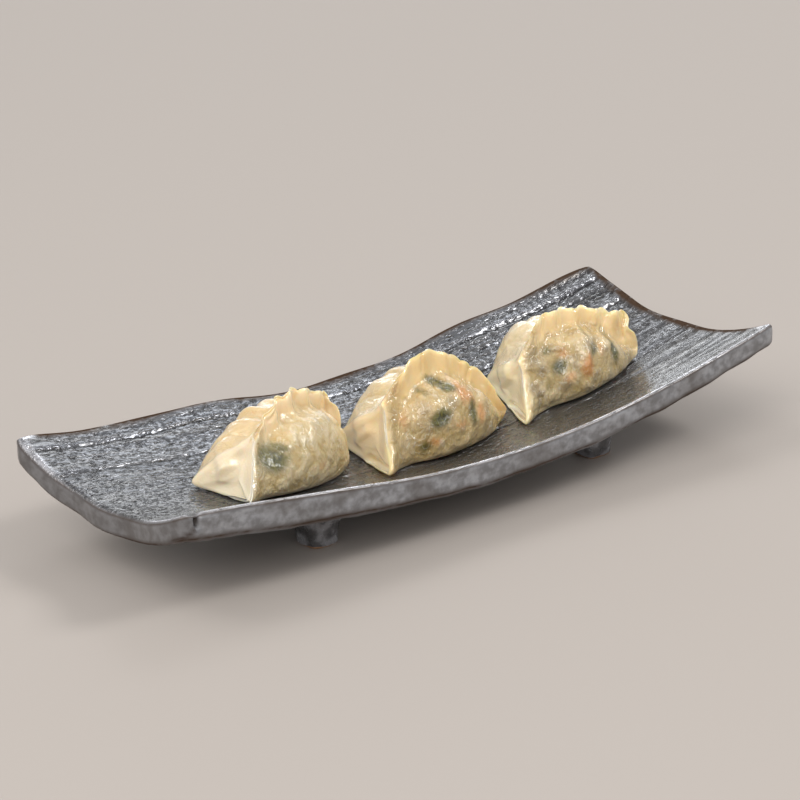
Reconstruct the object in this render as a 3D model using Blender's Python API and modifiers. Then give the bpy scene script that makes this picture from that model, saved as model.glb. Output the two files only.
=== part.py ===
"""A long stoneware plate on four stub feet, with three steamed dumplings in a row on it.

Metres, +Z up. The origin is on the table, below the middle of the plate. +X runs along the plate and
+Y to the long side behind the dumplings. Sizes of the food are named in millimetres and scaled by MM.
"""

import math

import bmesh
import bpy
import numpy as np
from mathutils import Matrix, Vector

MM = 0.001

# Plate: overall sizes
PLATE_LENGTH = 281.0
PLATE_WIDTH = 108.0
PLATE_THICKNESS = 9.6
CLEARANCE_AT_MIDDLE = 4.2
END_RISE = 22.3
END_RISE_FLATTENING = 5.3
END_RISE_TILT = 2.6
LEFT_END_BOW = 4.1
RIGHT_END_BOW = -1.1
SIDE_RISE = 14.0
SIDE_CURVE_POWER = 2.2
SIDE_RISE_LOSS_AT_ENDS = 0.15
LEFT_END_NARROWING = 0.09
RIGHT_END_NARROWING = 0.04
CORNER_ROUNDING = 0.009
CORNER_POWER = 22
EDGE_WAVER = 0.7
EDGE_ROUND = 1.7
PLATE_CELLS_X = 34
LIP_WIDTH = 0.06

# Plate: grooves along the top, as shares of the half width, with their depth and width
GROOVES = (0.84, 0.57, 0.27, -0.15)
GROOVE_DEPTH = 0.9
GROOVE_HALF_WIDTH = 1.1
WIDEST_CELL = 0.27

# Feet
FOOT_LEFT_X = -61.0
FOOT_RIGHT_X = 74.0
FOOT_Y = 21.0
FOOT_BASE_HALF = 6.2
FOOT_TOP_HALF = 9.5
FOOT_SEGMENTS = 20
FOOT_RINGS = 4
FOOT_SINK = 4.0
FOOT_FLARE_POWER = 2.4
FOOT_SQUARENESS = 4.0

# Dumplings: the wrapper's shared sizes
GAP_TO_PLATE = 0.3
RIM_HALF_THICKNESS = 1.3
SECTION_POINTS = 18
RINGS = 40
RING_POINTS = 32
FRONT_DENT = 1.8

# Dumplings: sections from the folded end to the pinched end, each as
# (place along, crest across, crest height, shoulder height, right foot across, left foot across,
#  right foot ahead, left foot ahead, swell), with the folded corners on the first
DUMPLINGS = {
    "dumpling_left": dict(
        at=(-95.5, -9.0), heading=13.0, tip=(70.5, 0.0, 9.0), pleat_length=10.5, pleat_start=7.0,
        pleat_depth=1.3, seed=3,
        sections=(
            (8.5, -8.7, 24.0, 16.0, -20.0, 17.0, -16.5, -6.0, 0.0),
            (11.0, -8.2, 25.0, 17.0, -20.0, 17.0, -15.0, -5.0, 0.05),
            (15.0, -7.2, 26.5, 18.0, -14.0, 16.0, -9.0, -4.0, 0.5),
            (22.0, -5.0, 29.5, 21.5, -17.0, 16.0, -4.0, -2.0, 1.0),
            (31.0, -3.0, 34.5, 26.0, -18.0, 18.0, -1.0, 0.0, 1.0),
            (41.0, -2.2, 36.0, 28.0, -16.5, 17.0, 0.0, 0.0, 1.0),
            (51.0, -1.5, 33.0, 27.0, -14.0, 15.5, 0.0, 0.0, 1.0),
            (59.0, -0.8, 30.5, 22.5, -11.0, 12.5, 0.0, 0.0, 1.0),
            (64.0, -0.2, 27.0, 15.0, -7.5, 9.0, 0.0, 0.0, 1.0),
            (68.0, 0.0, 18.0, 8.0, -4.0, 5.0, 0.0, 0.0, 1.0))),
    "dumpling_middle": dict(
        at=(-20.5, 3.0), heading=-4.0, tip=(68.5, 0.3, 2.5), pleat_length=12.0, pleat_start=3.0,
        pleat_depth=0.8, seed=11,
        sections=(
            (0.4, -12.8, 25.5, 17.0, -21.5, 20.0, -5.0, 0.5, 0.0),
            (3.2, -12.2, 28.5, 19.0, -22.0, 19.0, -4.5, 0.5, 0.05),
            (9.0, -10.2, 33.5, 23.0, -13.5, 17.0, 0.0, 0.0, 0.5),
            (16.0, -7.8, 36.0, 26.0, -19.5, 17.5, 0.0, 0.0, 1.0),
            (24.5, -5.0, 41.0, 28.5, -21.5, 17.5, 0.0, 0.0, 1.0),
            (33.0, -3.3, 37.0, 29.0, -20.0, 17.0, 0.0, 0.0, 1.0),
            (41.0, -2.5, 33.5, 25.5, -17.5, 16.0, 0.0, 0.0, 1.0),
            (48.5, -1.8, 28.5, 20.0, -14.5, 14.0, 0.0, 0.0, 1.0),
            (55.5, -1.0, 22.5, 12.0, -10.0, 10.0, 0.0, 0.0, 1.0),
            (61.0, -0.4, 14.5, 5.5, -4.0, 4.0, 0.0, 0.0, 1.0),
            (65.0, 0.0, 8.0, 3.0, -1.6, 1.6, 0.0, 0.0, 1.0))),
    "dumpling_right": dict(
        at=(54.0, 8.0), heading=-14.0, tip=(60.0, 0.0, 4.0), pleat_length=10.0, pleat_start=1.0,
        pleat_depth=1.2, seed=23,
        sections=(
            (-1.0, -14.9, 22.5, 14.0, -22.0, 18.5, -1.5, 2.5, 0.0),
            (2.0, -14.5, 27.5, 18.0, -23.5, 18.5, -1.5, 1.5, 0.05),
            (7.5, -12.2, 34.5, 25.0, -15.0, 18.0, 2.0, 0.0, 0.5),
            (14.0, -9.2, 36.5, 27.0, -18.5, 17.5, 1.0, 0.0, 1.0),
            (22.0, -5.4, 33.5, 25.5, -20.5, 17.5, 0.0, 0.0, 1.0),
            (30.0, -3.5, 31.5, 25.0, -19.5, 17.0, 0.0, 0.0, 1.0),
            (37.5, -2.6, 28.5, 22.0, -16.0, 15.5, 0.0, 0.0, 1.0),
            (44.5, -1.8, 25.0, 15.0, -12.5, 12.0, 0.0, 0.0, 1.0),
            (50.5, -1.0, 22.0, 8.0, -7.5, 7.0, 0.0, 0.0, 1.0),
            (55.5, -0.4, 19.0, 5.0, -3.0, 3.0, 0.0, 0.0, 1.0),
            (58.5, 0.0, 12.0, 3.0, -1.6, 1.6, 0.0, 0.0, 1.0))),
}


def smooth_step(low, high, value):
    t = np.clip((value - low) / (high - low), 0.0, 1.0)
    return t * t * (3.0 - 2.0 * t)


def bump(value, centre, half_width):
    return np.exp(-(((value - centre) / half_width) ** 2))


def plate_width_share(along):
    """The half width at a place along the plate (-1 to 1), as a share of the middle's."""
    change = (LEFT_END_NARROWING - RIGHT_END_NARROWING) / 2 * along
    return 1.0 + change - (LEFT_END_NARROWING + RIGHT_END_NARROWING) / 2 * along**2


def plate_top(x, y):
    """Height of the plate's bare upper face over the table, all in millimetres."""
    along = np.clip(x / (PLATE_LENGTH / 2), -1.0, 1.0)
    across = np.abs(y) / (PLATE_WIDTH / 2 * plate_width_share(along))
    ends = END_RISE * along**2 + END_RISE_TILT * along**3 - END_RISE_FLATTENING * along**4
    sides = SIDE_RISE * across**SIDE_CURVE_POWER * (1 - SIDE_RISE_LOSS_AT_ENDS * along**2)
    return CLEARANCE_AT_MIDDLE + PLATE_THICKNESS + ends + sides


def place(obj, collection, colour, roughness, metallic=0.0):
    """Gives the object its material and puts it in the collection."""
    material = bpy.data.materials.new(obj.name)
    material.use_nodes = True
    shader = material.node_tree.nodes["Principled BSDF"]
    shader.inputs["Base Color"].default_value = (*colour, 1.0)
    shader.inputs["Roughness"].default_value = roughness
    shader.inputs["Metallic"].default_value = metallic
    obj.data.materials.append(material)
    collection.objects.link(obj)
    return obj


def groove_lines():
    """Shares of the half width where the grid has a line: three at each groove, others between."""
    half_width = GROOVE_HALF_WIDTH / (PLATE_WIDTH / 2)
    stops = [-1.0, -1.0 + LIP_WIDTH]
    for centre in sorted(GROOVES):
        last = stops[-1]
        gap = centre - half_width - last
        steps = max(1, round(gap / WIDEST_CELL))
        stops += [last + gap * k / steps for k in range(1, steps)]
        stops += [centre - half_width, centre, centre + half_width]
    return stops + [1.0 - LIP_WIDTH, 1.0]


def groove_depth(x, y):
    """How deep the long grooves are pressed into the upper face at a place, in millimetres."""
    half = PLATE_WIDTH / 2 * plate_width_share(x / (PLATE_LENGTH / 2))
    return GROOVE_DEPTH * sum(bump(y, g * half, 0.7 * GROOVE_HALF_WIDTH) for g in GROOVES)


def plate_slab():
    """The curved slab: a grid bent to the plate's form, with upright walls and rounded edges."""
    lines = groove_lines()
    cells = len(lines) - 1
    mesh = bpy.data.meshes.new("plate")
    bm = bmesh.new()
    bmesh.ops.create_grid(bm, x_segments=PLATE_CELLS_X, y_segments=cells, size=1.0)
    for vertex in bm.verts:
        along = vertex.co.x * (1.3 - 0.3 * vertex.co.x**2)
        row = round((vertex.co.y + 1) / 2 * cells)
        across = lines[row]
        waver = EDGE_WAVER * (math.sin(7 * along + 1) + 0.6 * math.sin(17 * along))
        x = along * PLATE_LENGTH / 2 * (1 - CORNER_ROUNDING * abs(across) ** CORNER_POWER)
        x += EDGE_WAVER * math.sin(9 * across + 2 * along) * abs(along) ** 8
        bow = (LEFT_END_BOW if along < 0 else RIGHT_END_BOW) * (1 - across**2)
        x -= math.copysign(bow, along) * abs(along) ** 6
        half = PLATE_WIDTH / 2 * plate_width_share(along)
        y = across * half * (1 - 2 * CORNER_ROUNDING * abs(along) ** (2 * CORNER_POWER))
        y += waver * abs(across) ** 8
        vertex.co = Vector((x, y, plate_top(x, y))) * MM
    lower = bmesh.ops.extrude_face_region(bm, geom=bm.faces[:] + bm.edges[:], use_keep_orig=True)["geom"]
    lower = [part for part in lower if isinstance(part, bmesh.types.BMVert)]
    bmesh.ops.translate(bm, verts=lower, vec=Vector((0, 0, -PLATE_THICKNESS)) * MM)
    bmesh.ops.recalc_face_normals(bm, faces=bm.faces)
    bm.to_mesh(mesh)
    bm.free()
    slab = bpy.data.objects.new("plate", mesh)
    edge = slab.modifiers.new("edge", "BEVEL")
    edge.width = EDGE_ROUND * MM
    edge.segments = 2
    edge.limit_method = "ANGLE"
    edge.angle_limit = math.radians(55)
    return slab


def foot(name, x, y):
    """A squarish stub, hand pressed, that flares where it meets the slab. Its sole is flat at z = 0."""
    top = plate_top(x, y) - PLATE_THICKNESS + FOOT_SINK
    mesh = bpy.data.meshes.new(name)
    bm = bmesh.new()
    bmesh.ops.create_cone(bm, cap_ends=True, segments=FOOT_SEGMENTS, radius1=1.0, radius2=1.0, depth=1.0)
    upright = [e for e in bm.edges if abs(e.verts[0].co.z - e.verts[1].co.z) > 0.5]
    bmesh.ops.subdivide_edges(bm, edges=upright, cuts=FOOT_RINGS)
    for vertex in bm.verts:
        height = vertex.co.z + 0.5
        half = FOOT_BASE_HALF + (FOOT_TOP_HALF - FOOT_BASE_HALF) * height**FOOT_FLARE_POWER
        angle = math.atan2(vertex.co.y, vertex.co.x)
        c, s = abs(math.cos(angle)), abs(math.sin(angle))
        reach = half / (c**FOOT_SQUARENESS + s**FOOT_SQUARENESS) ** (1 / FOOT_SQUARENESS)
        vertex.co = Vector((reach * math.cos(angle), reach * math.sin(angle), top * height)) * MM
    bm.to_mesh(mesh)
    bm.free()
    stub = bpy.data.objects.new(name, mesh)
    stub.location = Vector((x, y, 0)) * MM
    return stub


def make_plate(parts, cutters):
    plate = place(plate_slab(), parts, (0.09, 0.09, 0.1), 0.35, 0.6)
    feet = bpy.data.collections.new("feet")
    cutters.children.link(feet)
    for side, x in (("left", FOOT_LEFT_X), ("right", FOOT_RIGHT_X)):
        for place_y, y in (("front", -FOOT_Y), ("back", FOOT_Y)):
            feet.objects.link(foot(f"foot_{place_y}_{side}", x, y))
    join = plate.modifiers.new("feet", "BOOLEAN")
    join.operation = "UNION"
    join.operand_type = "COLLECTION"
    join.collection = feet
    join.solver = "EXACT"
    bpy.context.view_layer.update()
    evaluated = plate.evaluated_get(bpy.context.evaluated_depsgraph_get())
    joined = bpy.data.meshes.new_from_object(evaluated)
    plate.modifiers.clear()
    plate.data = joined
    for vertex in joined.vertices:
        x, y, z = vertex.co / MM
        if z > plate_top(x, y) - 0.3 * PLATE_THICKNESS:
            vertex.co.z -= groove_depth(x, y) * MM
    for stub in list(feet.objects):
        bpy.data.objects.remove(stub)
    bpy.data.collections.remove(feet)
    plate.data.shade_smooth()
    return plate


def spline_basis(count, samples, closed):
    """Rows of uniform cubic B-spline weights. An open line is held at its two ends by repeating them."""
    basis = np.zeros((len(samples), count))
    for row, position in enumerate(samples):
        start = int(math.floor(position))
        t = position - start
        weights = ((1 - t) ** 3, 3 * t**3 - 6 * t**2 + 4, -3 * t**3 + 3 * t**2 + 3 * t + 1, t**3)
        for k, weight in enumerate(weights):
            index = start + k - 1
            index = index % count if closed else min(max(index, 0), count - 1)
            basis[row, index] += weight / 6
    return basis


def flank(crest, shoulder, foot, swell):
    """Eight points down one side of a section: straight at the folded end, full over the filling."""
    crest = np.array(crest)
    foot = np.array((*foot, 0.0))
    skin = np.array((0.0, np.sign(foot[1] - crest[1]) * RIM_HALF_THICKNESS, 0.0))
    height = shoulder / crest[2]
    straight = ((0.01, 0.94), (0.14, 0.82), (0.3, 0.66), (0.48, 0.48), (0.68, 0.28), (0.9, 0.08))
    full = ((0.0, 1.0 - 0.12 * (1 - height)), (0.0, height + 0.04), (0.16, height - 0.03),
            (0.66, 0.95 * height), (1.03, 0.64 * height), (1.07, 0.22 * height))
    points = []
    for (plain_out, plain_up), (full_out, full_up) in zip(straight, full):
        out = plain_out + (full_out - plain_out) * swell
        up = plain_up + (full_up - plain_up) * swell
        ground = crest * (1, 1, 0) + (foot - crest * (1, 1, 0)) * out
        points.append(ground + skin + (0, 0, crest[2] * up))
    middle = crest * (1, 1, 0) * 0.4 + foot * 0.6
    return points + [foot * (1, 0.95, 1), middle]


def wrapper_controls(sizes):
    """The control rings of one dumpling, from the dented fold in front to the pinched far end."""
    rings = []
    for x, crest_y, crest_z, shoulder, right, left, right_ahead, left_ahead, swell in sizes["sections"]:
        crest = (x, crest_y, crest_z)
        left_shoulder = crest_z - 0.7 * (crest_z - shoulder)
        left_swell = min(1.0, 0.15 + 1.3 * swell)
        right_side = flank(crest, shoulder, (x + right_ahead, right), swell)
        left_side = flank(crest, left_shoulder, (x + left_ahead, left), left_swell)
        base = (right_side[-1] + left_side[-1]) / 2
        rings.append([np.array(crest)] + right_side + [base] + left_side[::-1])
    rings = np.array(rings)
    edge = rings[0]
    middle = edge.mean(0) * (1, 1, 0.8) + (FRONT_DENT, 0, 0)
    inner = 0.5 * (edge + middle) + (0.7 * FRONT_DENT, 0, 0)
    start = np.repeat(middle[None], SECTION_POINTS, 0)
    end = np.repeat(np.array(sizes["tip"])[None], SECTION_POINTS, 0)
    return np.concatenate([start[None], inner[None], edge[None], rings, end[None]])


def wrapper_points(sizes, rings, ring_points):
    """The dumpling's skin in its own millimetre frame: an array of rings + 1 by ring_points by 3."""
    controls = wrapper_controls(sizes)
    count = len(controls)
    along = spline_basis(count, np.linspace(0, count - 1, rings + 1), False)
    around = spline_basis(SECTION_POINTS, np.arange(ring_points) * SECTION_POINTS / ring_points, True)
    skin = np.einsum("ai,bj,ijk->abk", along, around, controls)
    skin[0] = controls[0, 0]
    skin[-1] = controls[-1, 0]
    return fold_and_swell(skin, sizes)


def fold_and_swell(skin, sizes):
    """Waves the crest into pleats that die out down the sides, and lifts the skin over the filling."""
    x, y, z = skin[..., 0], skin[..., 1], skin[..., 2]
    table = np.array(sizes["sections"])
    crest = np.interp(x, table[:, 0], table[:, 2])
    height = np.clip(z / crest, 0, 1)
    front, back = table[2, 0], table[-1, 0]
    near_crest = smooth_step(0.5, 0.95, height) * smooth_step(front, front + 8, x)
    wave = np.sin(2 * math.pi * (x - sizes["pleat_start"]) / sizes["pleat_length"])
    ripple = np.sin(2 * math.pi * (x - sizes["pleat_start"]) / (0.43 * sizes["pleat_length"]))
    folded = skin.copy()
    folded[..., 1] += sizes["pleat_depth"] * near_crest * (wave + 0.35 * ripple)
    folded[..., 2] += 0.5 * sizes["pleat_depth"] * near_crest * np.abs(wave)
    random = np.random.default_rng(sizes["seed"])
    lumps = np.zeros_like(x)
    for _ in range(14):
        direction = random.normal(size=3)
        direction *= 2 * math.pi / (random.uniform(9.0, 17.0) * np.linalg.norm(direction))
        lumps += np.sin(skin @ direction + random.uniform(0, 2 * math.pi))
    on_belly = smooth_step(0.02, 0.2, height) * (1 - smooth_step(0.6, 0.85, height))
    on_belly *= smooth_step(front, front + 10, x) * (1 - smooth_step(back - 12, back, x))
    outward = np.stack([np.zeros_like(x), np.sign(y), 0.5 * np.ones_like(z)], -1)
    return folded + (0.22 * lumps * on_belly)[..., None] * outward


def make_dumpling(name, d, parts):
    """A sphere's rings, moved onto the wrapper's skin and set down on the plate."""
    skin = wrapper_points(d, RINGS, RING_POINTS)
    turn = math.radians(d["heading"])
    ahead = np.array([math.cos(turn), math.sin(turn)])
    aside = np.array([-math.sin(turn), math.cos(turn)])
    flat = np.array(d["at"]) + skin[..., :1] * ahead + skin[..., 1:2] * aside
    rise = plate_top(flat[..., 0], flat[..., 1]) + GAP_TO_PLATE + np.maximum(skin[..., 2], 0.0)
    points = np.concatenate([flat, rise[..., None]], -1) * MM
    mesh = bpy.data.meshes.new(name)
    bm = bmesh.new()
    bmesh.ops.create_uvsphere(bm, u_segments=RING_POINTS, v_segments=RINGS, radius=1.0)
    for vertex in bm.verts:
        ring = round(math.acos(max(-1.0, min(1.0, vertex.co.z))) / math.pi * RINGS)
        step = round(-math.atan2(vertex.co.y, vertex.co.x) / (2 * math.pi) * RING_POINTS) % RING_POINTS
        vertex.co = Vector(points[ring, step])
    bm.to_mesh(mesh)
    bm.free()
    mesh.shade_smooth()
    return place(bpy.data.objects.new(name, mesh), parts, (0.8, 0.66, 0.42), 0.4)


def centre_on_origin(parts):
    """Slides everything along the table until the middle of its box is over the origin."""
    points = np.array([obj.matrix_world @ Vector(corner) for obj in parts.objects for corner in obj.bound_box])
    middle = (points.min(0) + points.max(0)) / 2
    for obj in parts.objects:
        obj.data.transform(Matrix.Translation((-middle[0], -middle[1], 0.0)))


def main():
    for obj in list(bpy.data.objects):
        bpy.data.objects.remove(obj)
    scene = bpy.context.scene.collection
    parts = bpy.data.collections.new("dumpling_plate")
    cutters = bpy.data.collections.new("cutters")
    scene.children.link(parts)
    scene.children.link(cutters)
    make_plate(parts, cutters)
    for name, sizes in DUMPLINGS.items():
        make_dumpling(name, sizes, parts)
    centre_on_origin(parts)


main()
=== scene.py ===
"""A long, curved stoneware plate on four stub feet, with three steamed dumplings laid along it.

Metres, +Z up. +X runs along the plate to its higher end and +Y to the side behind the dumplings.
Sizes given in millimetres are scaled by MM.
"""

import math

import bmesh
import bpy
import numpy as np
from mathutils import Matrix, Vector


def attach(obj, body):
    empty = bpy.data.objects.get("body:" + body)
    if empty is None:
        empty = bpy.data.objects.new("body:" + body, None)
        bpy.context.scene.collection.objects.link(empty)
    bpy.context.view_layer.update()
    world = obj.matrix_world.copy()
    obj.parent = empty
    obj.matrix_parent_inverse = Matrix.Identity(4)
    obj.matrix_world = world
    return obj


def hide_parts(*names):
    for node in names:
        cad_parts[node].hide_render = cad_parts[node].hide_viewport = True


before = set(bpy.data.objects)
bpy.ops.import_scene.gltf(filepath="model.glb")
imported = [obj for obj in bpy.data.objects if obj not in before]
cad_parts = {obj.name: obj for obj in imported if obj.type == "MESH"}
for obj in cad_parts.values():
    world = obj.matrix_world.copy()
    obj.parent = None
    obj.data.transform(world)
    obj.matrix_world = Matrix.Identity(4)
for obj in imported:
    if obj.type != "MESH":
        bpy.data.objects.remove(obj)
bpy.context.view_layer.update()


# Studio: floor, light and camera
# A plain pale floor and large soft lights, the main one high behind the plate's left end,
# seen from above the plate's near left side. Nothing in this section belongs to the object.

MM = 0.001
FLOOR_HALF = 4.0
FLOOR_COLOUR = (0.385, 0.345, 0.315)
SKY_COLOUR = (0.98, 0.99, 1.0)
SKY_STRENGTH = 0.63
CAMERA_PLACE = (-0.73537, -0.88390, 0.44524)
CAMERA_AIM = (-0.00416, -0.00037, 0.03501)
CAMERA_ROLL = -1.07475
CAMERA_LENS = 147.43
CAMERA_SENSOR = 36.0

# Soft lights as (name, compass angle from +X, elevation, distance, width, height, power, colour)
SOFT_LIGHTS = (
    ("window_light", 128.0, 56.0, 2.6, 1.5, 1.3, 11.5, (1.0, 0.99, 0.98)),
    ("bright_pane", 142.0, 50.0, 2.6, 0.6, 0.6, 3.0, (1.0, 1.0, 0.99)),
    ("back_light", 34.0, 42.0, 2.6, 1.1, 0.7, 9.0, (0.92, 0.96, 1.0)),
    ("low_back_light", 54.0, 12.0, 2.4, 1.8, 0.35, 7.0, (0.94, 0.97, 1.0)),
    ("right_pane", -38.0, 43.0, 2.6, 0.75, 0.6, 27.0, (1.0, 1.0, 0.99)),
    ("left_fill", 205.0, 38.0, 2.4, 1.5, 1.3, 34.0, (1.0, 0.985, 0.96)),
    ("near_fill", -105.0, 24.0, 2.6, 1.8, 0.9, 5.0, (0.98, 0.99, 1.0)),
)


def aimed(place, aim, roll=0.0):
    """A matrix that stands at a place and looks at another, for a light or the camera."""
    place = Vector(place)
    turn = (Vector(aim) - place).to_track_quat("-Z", "Y").to_matrix().to_4x4()
    return Matrix.Translation(place) @ turn @ Matrix.Rotation(math.radians(roll), 4, "Z")


def put(name, data):
    """A new object in the scene."""
    obj = bpy.data.objects.new(name, data)
    bpy.context.scene.collection.objects.link(obj)
    return obj


floor_mesh = bpy.data.meshes.new("floor")
floor_bm = bmesh.new()
bmesh.ops.create_grid(floor_bm, x_segments=1, y_segments=1, size=FLOOR_HALF)
floor_bm.to_mesh(floor_mesh)
floor_bm.free()
floor = put("floor", floor_mesh)
floor_paint = bpy.data.materials.new("matt_floor")
floor_paint.use_nodes = True
floor_shader = floor_paint.node_tree.nodes["Principled BSDF"]
floor_shader.inputs["Base Color"].default_value = (*FLOOR_COLOUR, 1.0)
floor_shader.inputs["Roughness"].default_value = 0.85
floor_shader.inputs["Specular IOR Level"].default_value = 0.2
floor_mesh.materials.append(floor_paint)

for name, compass, elevation, distance, width, height, power, colour in SOFT_LIGHTS:
    lamp = bpy.data.lights.new(name, "AREA")
    lamp.shape = "RECTANGLE"
    lamp.size = width
    lamp.size_y = height
    lamp.energy = power
    lamp.color = colour
    away = Vector((
        math.cos(math.radians(compass)) * math.cos(math.radians(elevation)),
        math.sin(math.radians(compass)) * math.cos(math.radians(elevation)),
        math.sin(math.radians(elevation)),
    ))
    put(name, lamp).matrix_world = aimed(away * distance, (0, 0, 0))

sky = bpy.data.worlds.new("sky")
sky.use_nodes = True
sky.node_tree.nodes["Background"].inputs["Color"].default_value = (*SKY_COLOUR, 1.0)
sky.node_tree.nodes["Background"].inputs["Strength"].default_value = SKY_STRENGTH
bpy.context.scene.world = sky
bpy.context.scene.view_settings.view_transform = "Standard"

camera_data = bpy.data.cameras.new("camera")
camera_data.lens = CAMERA_LENS
camera_data.sensor_width = CAMERA_SENSOR
camera = put("camera", camera_data)
camera.matrix_world = aimed(CAMERA_PLACE, CAMERA_AIM, CAMERA_ROLL)
bpy.context.scene.camera = camera


# Plate
# A slab of stoneware clay, rolled out, cut with a wavering edge and slumped over a long form.
# Its upper face is raked into long grooves and scratched with short strokes, and the whole is
# dipped in a dark metallic glaze that breaks brown where it runs thin on the lips.

PLATE_LENGTH = 281.0
PLATE_WIDTH = 108.0
PLATE_THICKNESS = 9.6
CLEARANCE_AT_MIDDLE = 4.2
END_RISE = 22.3
END_RISE_FLATTENING = 5.3
END_RISE_TILT = 2.6
LEFT_END_BOW = 4.1
RIGHT_END_BOW = -1.1
SIDE_RISE = 14.0
SIDE_CURVE_POWER = 2.2
SIDE_RISE_LOSS_AT_ENDS = 0.15
END_NARROWING = 0.065
LEFT_END_NARROWER = 0.025
CORNER_ROUNDING = 0.013
CORNER_POWER = 22
EDGE_WAVER = 0.7
END_LIP = 1.7
CORNER_SWELL = 2.4
EDGE_ROUND = 2.3
ARC_STEPS = 4
WALL_STEPS = 4
CELLS_ALONG = 400
CELLS_ACROSS = 180
UNDERSIDE_SHARE = 4
UNDERSIDE_INSET = 3.0
CENTRE_SHIFT = (-0.379, -0.368)
CRACK_X = -134.6
CRACK_Y = -47.5
SEAM_START = 0.6
SEAM_SLOPE = 53.0

# Raked grooves as (place across, strength at the left end)
GROOVES = ((0.84, 1.0), (0.57, 1.0), (0.27, 0.2), (-0.15, 0.1))

# Places where a long edge sprang up in the kiln, as (side, place along, half width, share)
EDGE_SPRINGS = (
    (1, -140.0, 18.0, 0.5),
    (1, -57.0, 28.0, 1.05),
    (1, 74.0, 30.0, 0.97),
    (1, 130.0, 20.0, 0.3),
    (-1, -90.0, 45.0, 0.3),
)

# Where the front edge came out thick, as (place along, half width)
THICK_FRONT = (-95.0, 48.0)

# The bank pushed up behind a groove, as (distance, half width)
GROOVE_BANK = (1.4, 0.9)

# Half widths of the crack at the upper edge and lower down
CRACK_MOUTH = 1.9
CRACK_TAIL = 1.0

GLAZE = {
    "in front": (0.115, 0.108, 0.1),
    # Behind: lighter and bluer, partly a cooler glaze and partly painted cold reflection of the lights
    # behind the plate.
    "behind": (0.14, 0.145, 0.16),
    "ends": (0.05, 0.05, 0.052),
    "right end": (0.045, 0.042, 0.042),
    "brushed": (0.19, 0.182, 0.172),
    "calm corner": (0.045, 0.043, 0.041),
    # Scratch and stroke: dark, painted shade in those recesses.
    "scratch": (0.03, 0.028, 0.027),
    "stroke": (0.03, 0.03, 0.033),
    # Plank: a lighter, bluer tone painted as sheen on the raised bands at the right end.
    "plank": (0.22, 0.225, 0.24),
    # Bank: a painted highlight on the raised bank behind each groove.
    "bank": (0.26, 0.265, 0.29),
    # Glint flake: silvery flecks of glaze painted lighter as glints.
    "glint_flake": (0.42, 0.425, 0.455),
    # Groove: near black, painted shade in the grooves.
    "groove": (0.02, 0.019, 0.019),
    "wall": (0.2, 0.2, 0.208),
    "wall glint": (0.38, 0.39, 0.415),
    "wall cloud": (0.12, 0.108, 0.1),
    "left end wall": (0.11, 0.1, 0.095),
    # A painted highlight line along the near front and left lips, which are also glossier.
    "painted lip highlight": (0.7, 0.69, 0.73),
    "thin lip": (0.06, 0.038, 0.026),
    "seam": (0.045, 0.028, 0.02),
    "crack": (0.022, 0.014, 0.01),
}


class Amount:
    """A number that varies over a surface. Arithmetic on it adds Math nodes to its tree."""

    def __init__(self, tree, socket):
        self.tree = tree
        self.socket = socket

    def maths(self, operation, *others):
        numbers = dict(enumerate((self, *others)))
        made = add_node(self.tree, "ShaderNodeMath", numbers, operation=operation)
        return Amount(self.tree, made.outputs[0])

    def __add__(self, other):
        return self.maths("ADD", other)

    def __sub__(self, other):
        return self.maths("SUBTRACT", other)

    def __mul__(self, other):
        return self.maths("MULTIPLY", other)

    def __truediv__(self, other):
        return self.maths("DIVIDE", other)

    def squared(self):
        return self.maths("MULTIPLY", self)

    def size(self):
        return self.maths("ABSOLUTE")

    def near(self, centre, half_width):
        """1 at the centre, falling away to 0 on both sides in a bell."""
        return ((self - centre) / half_width).squared().maths("MULTIPLY", -1.0).maths("EXPONENT")

    def ramp(self, low, high):
        """0 up to low, 1 from high, and a smooth change between them."""
        numbers = {"Value": self, "From Min": low, "From Max": high}
        made = add_node(self.tree, "ShaderNodeMapRange", numbers, interpolation_type="SMOOTHSTEP")
        return Amount(self.tree, made.outputs[0])

    def opposite(self):
        """One less the amount."""
        return self * -1.0 + 1.0


def fill_inputs(tree, node, inputs):
    """Fills or links a node's inputs by name or number."""
    for key, value in inputs.items():
        if isinstance(value, Amount):
            value = value.socket
        if isinstance(value, bpy.types.NodeSocket):
            tree.links.new(value, node.inputs[key])
        else:
            node.inputs[key].default_value = value


def add_node(tree, kind, inputs=None, **settings):
    """A new node, with its settings made and its inputs filled or linked."""
    made = tree.nodes.new(kind)
    for key, value in settings.items():
        setattr(made, key, value)
    fill_inputs(tree, made, inputs or {})
    return made


def grain(tree, place, size, seed=0.0, detail=2.0, distortion=0.0):
    """A soft random amount, about 0.5 on average, in grains of the given size."""
    steps = add_node(tree, "ShaderNodeVectorMath", {0: place, 1: size}, operation="DIVIDE")
    numbers = {"Vector": steps.outputs[0], "W": seed, "Scale": 1.0}
    numbers.update({"Detail": detail, "Distortion": distortion})
    made = add_node(tree, "ShaderNodeTexNoise", numbers, noise_dimensions="4D")
    return Amount(tree, made.outputs[0])


def start_tree(name, values):
    """A Geometry Nodes tree with one named input for each value, and those inputs by name."""
    kinds = {int: "NodeSocketInt", float: "NodeSocketFloat", bpy.types.Material: "NodeSocketMaterial"}
    tree = bpy.data.node_groups.new(name, "GeometryNodeTree")
    tree.interface.new_socket("Geometry", in_out="OUTPUT", socket_type="NodeSocketGeometry")
    tree.interface.new_socket("Geometry", in_out="INPUT", socket_type="NodeSocketGeometry")
    for key, value in values.items():
        tree.interface.new_socket(key, in_out="INPUT", socket_type=kinds[type(value)])
    entry = tree.nodes.new("NodeGroupInput")
    return tree, {socket.name: socket for socket in entry.outputs if socket.name}


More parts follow.
